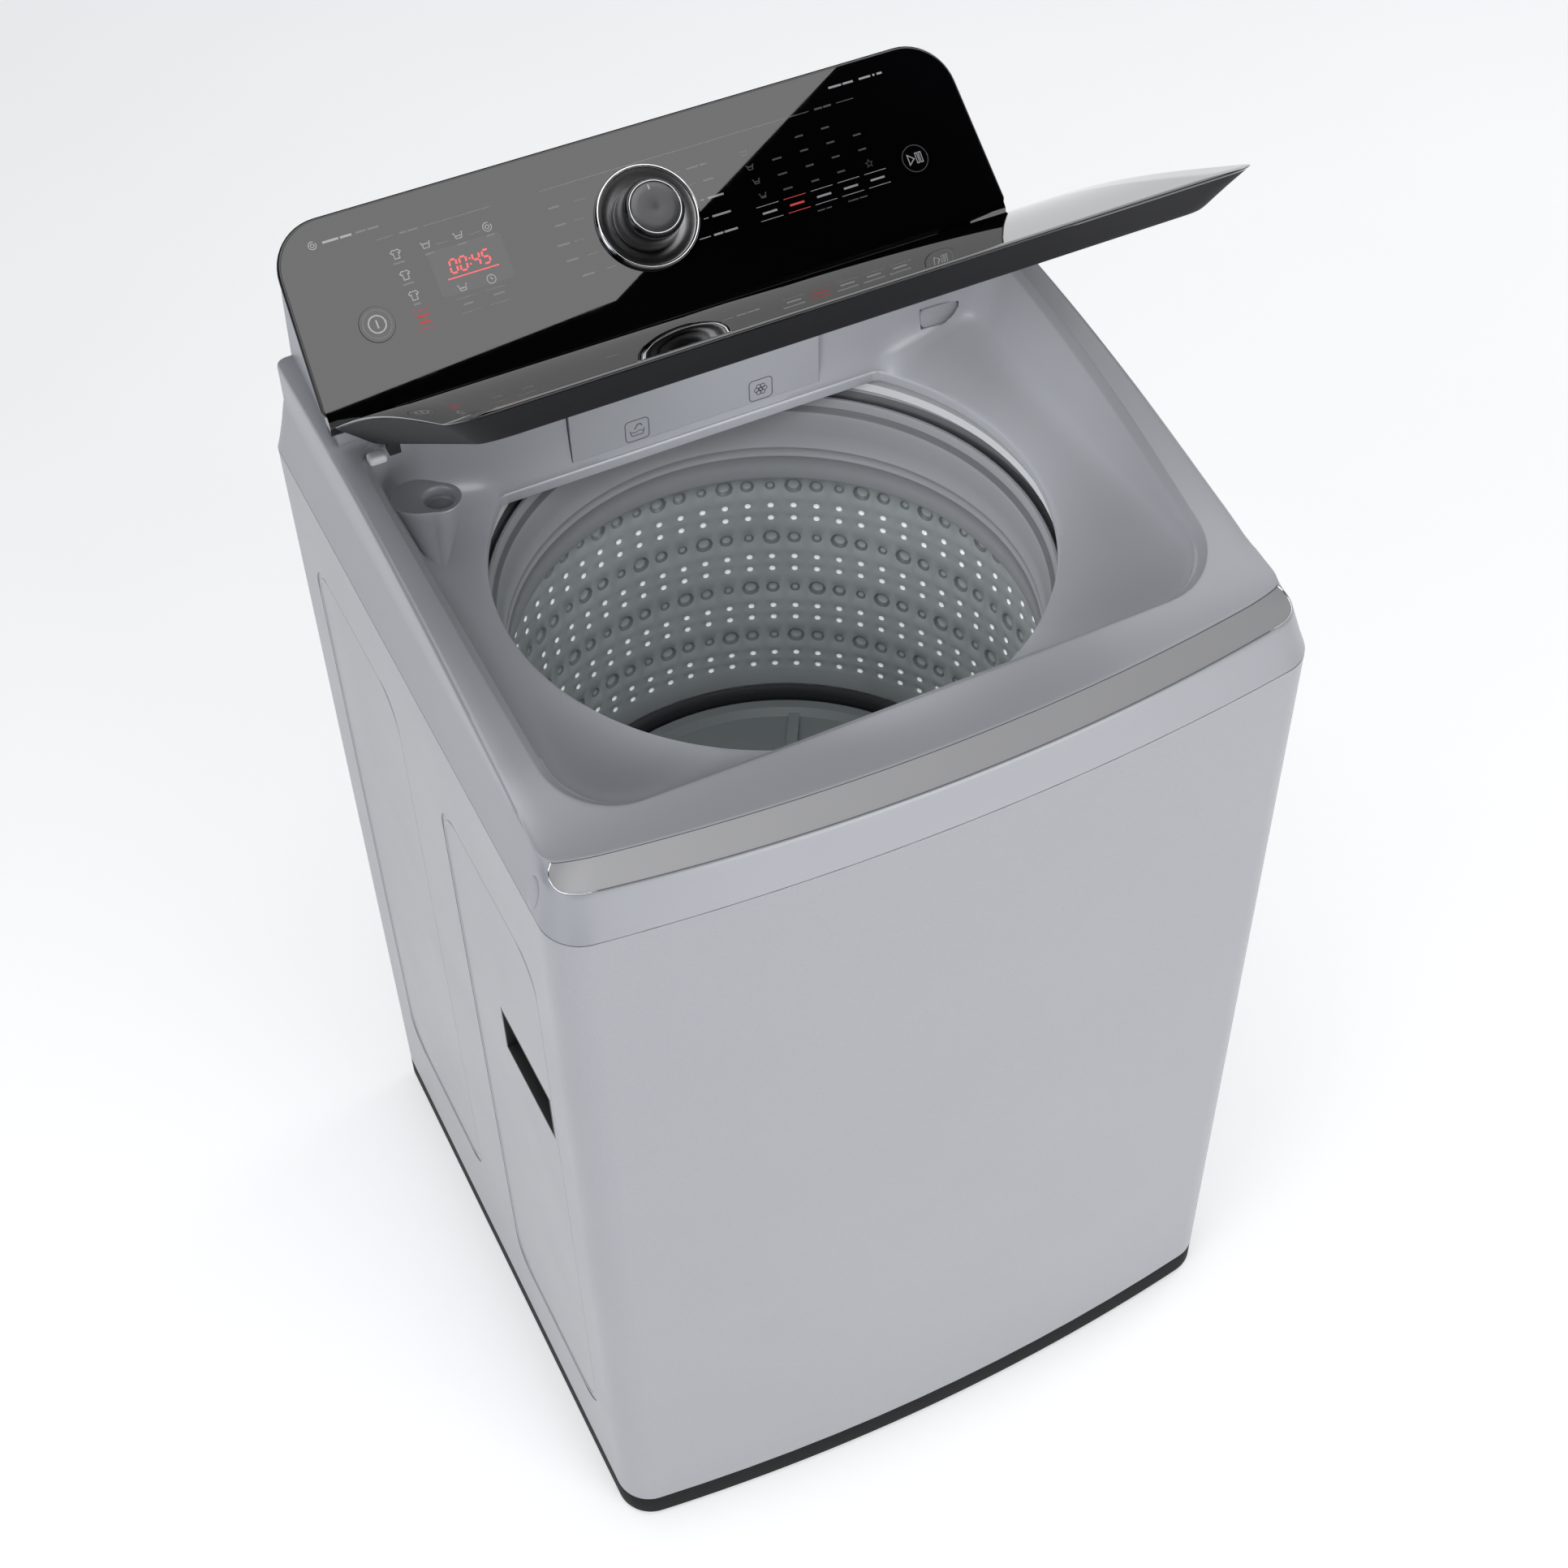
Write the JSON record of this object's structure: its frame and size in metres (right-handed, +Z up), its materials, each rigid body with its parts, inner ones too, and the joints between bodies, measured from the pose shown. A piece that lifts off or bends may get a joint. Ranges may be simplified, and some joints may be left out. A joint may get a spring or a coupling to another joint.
{
  "type": "top load washing machine",
  "caption": "Top load washing machine with a bowed silver cabinet, a sloped black console with a dial, a hinged glass lid, a sprung tub and a perforated steel drum.",
  "frame": {"origin": "On the floor, at the middle of the footprint.", "axes": "+Z up, +Y towards the console and the back, +X to the right as seen from the front."},
  "size_m": [0.54, 0.5427, 1.065],
  "materials": {
    "cabinet_paint": "satin",
    "cover_plastic": "satin",
    "trim": "satin",
    "black_plastic": "matte",
    "steel_sheet": "satin",
    "gloss_black": "gloss",
    "board": "matte",
    "bright_ring": "polished",
    "dial": "gloss",
    "drawer_plastic": "matte",
    "lid_glass": "gloss",
    "valve": "matte",
    "steel": "satin",
    "drum_steel": "brushed",
    "tub_plastic": "matte",
    "ring_plastic": "satin",
    "drum_plastic": "satin",
    "cast": "cast",
    "motor_paint": "matte",
    "belt": "matte",
    "foot": "matte"
  },
  "bodies": {
    "cabinet": {"base_cover": "steel_sheet", "base_frame": "black_plastic", "cabinet_wrap": "cabinet_paint", "console_facia": "gloss_black", "console_housing": "cover_plastic", "control_board": "board", "cord_gland": "black_plastic", "corner_brackets": "steel_sheet", "dial_bezel": "bright_ring", "dispenser_housing": "black_plastic", "display_window": "gloss_black", "drain_elbow": "black_plastic", "drain_pump": "valve", "front_trim": "trim", "grip_left": "black_plastic", "grip_right": "black_plastic", "hinge_bracket_left": "black_plastic", "hinge_bracket_right": "black_plastic", "inlet_valve": "valve", "lid_lock": "gloss_black", "rear_panel": "cabinet_paint", "rear_screws": "steel", "side_cap_left": "cover_plastic", "side_cap_right": "cover_plastic", "suspension_rod_1": "steel", "suspension_rod_2": "steel", "suspension_rod_3": "steel", "suspension_rod_4": "steel", "suspension_spring_1": "steel", "suspension_spring_2": "steel", "suspension_spring_3": "steel", "suspension_spring_4": "steel", "top_cover": "cover_plastic"},
    "lid": {"lid_frame": "black_plastic", "lid_glass": "lid_glass"},
    "dial": {"dial_knob": "dial"},
    "power_key": {"power_button": "gloss_black"},
    "start_key": {"start_button": "gloss_black"},
    "drawer": {"drawer_tray": "drawer_plastic", "drawer_front": "cover_plastic"},
    "tub": {"outer_tub": "tub_plastic", "tub_cover": "tub_plastic", "tub_bearing": "steel", "clutch_housing": "cast", "support_plate": "steel_sheet", "motor": "motor_paint", "drive_belt": "belt"},
    "drum": {"balance_ring": "ring_plastic", "drum_wall": "drum_steel", "drum_base": "drum_plastic"},
    "drive": {"pulsator": "drum_plastic", "pulsator_cap": "drum_plastic", "drive_shaft": "steel", "drum_pulley": "cast"},
    "motor_rotor": {"motor_pulley": "steel"},
    "foot_1": {"foot_1": "foot"},
    "foot_2": {"foot_2": "foot"},
    "foot_3": {"foot_3": "foot"},
    "foot_4": {"foot_4": "foot"}
  },
  "joints": [
    {"name": "lid_hinge", "type": "hinge", "parent": "cabinet", "child": "lid", "pos_m": [0, 0.126, 0.85], "axis": [-1, 0, 0], "range_deg": [-45, 38]},
    {"name": "dial_turn", "type": "hinge", "parent": "cabinet", "child": "dial", "pos_m": [0, 0.19099, 0.89999], "axis": [0, -0.6481, 0.7615], "continuous": true},
    {"name": "power_press", "type": "slide", "parent": "cabinet", "child": "power_key", "axis": [0, 0.6481, -0.7615], "range_m": [0, 0.001], "stiffness_N_per_m": 400, "springref_m": -0.001},
    {"name": "start_press", "type": "slide", "parent": "cabinet", "child": "start_key", "axis": [0, 0.6481, -0.7615], "range_m": [0, 0.001], "stiffness_N_per_m": 400, "springref_m": -0.001},
    {"name": "drawer_slide", "type": "slide", "parent": "cabinet", "child": "drawer", "axis": [0, -1, 0], "range_m": [0, 0.075]},
    {"name": "tub_bounce", "type": "slide", "parent": "cabinet", "child": "tub", "axis": [0, 0, 1], "range_m": [-0.015, 0.006], "stiffness_N_per_m": 8000, "springref_m": 0.02631, "deforming": ["suspension_spring_1", "suspension_spring_2", "suspension_spring_3", "suspension_spring_4"]},
    {"name": "drum_spin", "type": "hinge", "parent": "tub", "child": "drum", "pos_m": [0, 0.005, 0.38], "axis": [0, 0, 1], "continuous": true},
    {"name": "pulsator_spin", "type": "hinge", "parent": "tub", "child": "drive", "pos_m": [0, 0.005, 0.38], "axis": [0, 0, 1], "continuous": true},
    {"name": "motor_spin", "type": "hinge", "parent": "tub", "child": "motor_rotor", "pos_m": [0.15, 0.005, 0.26], "axis": [0, 0, 1], "continuous": true},
    {"name": "foot_1_turn", "type": "hinge", "parent": "cabinet", "child": "foot_1", "pos_m": [-0.222, -0.205, 0.03], "axis": [0, 0, 1], "continuous": true},
    {"name": "foot_2_turn", "type": "hinge", "parent": "cabinet", "child": "foot_2", "pos_m": [0.222, -0.205, 0.03], "axis": [0, 0, 1], "continuous": true},
    {"name": "foot_3_turn", "type": "hinge", "parent": "cabinet", "child": "foot_3", "pos_m": [-0.222, 0.205, 0.03], "axis": [0, 0, 1], "continuous": true},
    {"name": "foot_4_turn", "type": "hinge", "parent": "cabinet", "child": "foot_4", "pos_m": [0.222, 0.205, 0.03], "axis": [0, 0, 1], "continuous": true}
  ],
  "couplings": [
    {"joint": "motor_spin", "follows": "pulsator_spin", "ratio": 4}
  ]
}
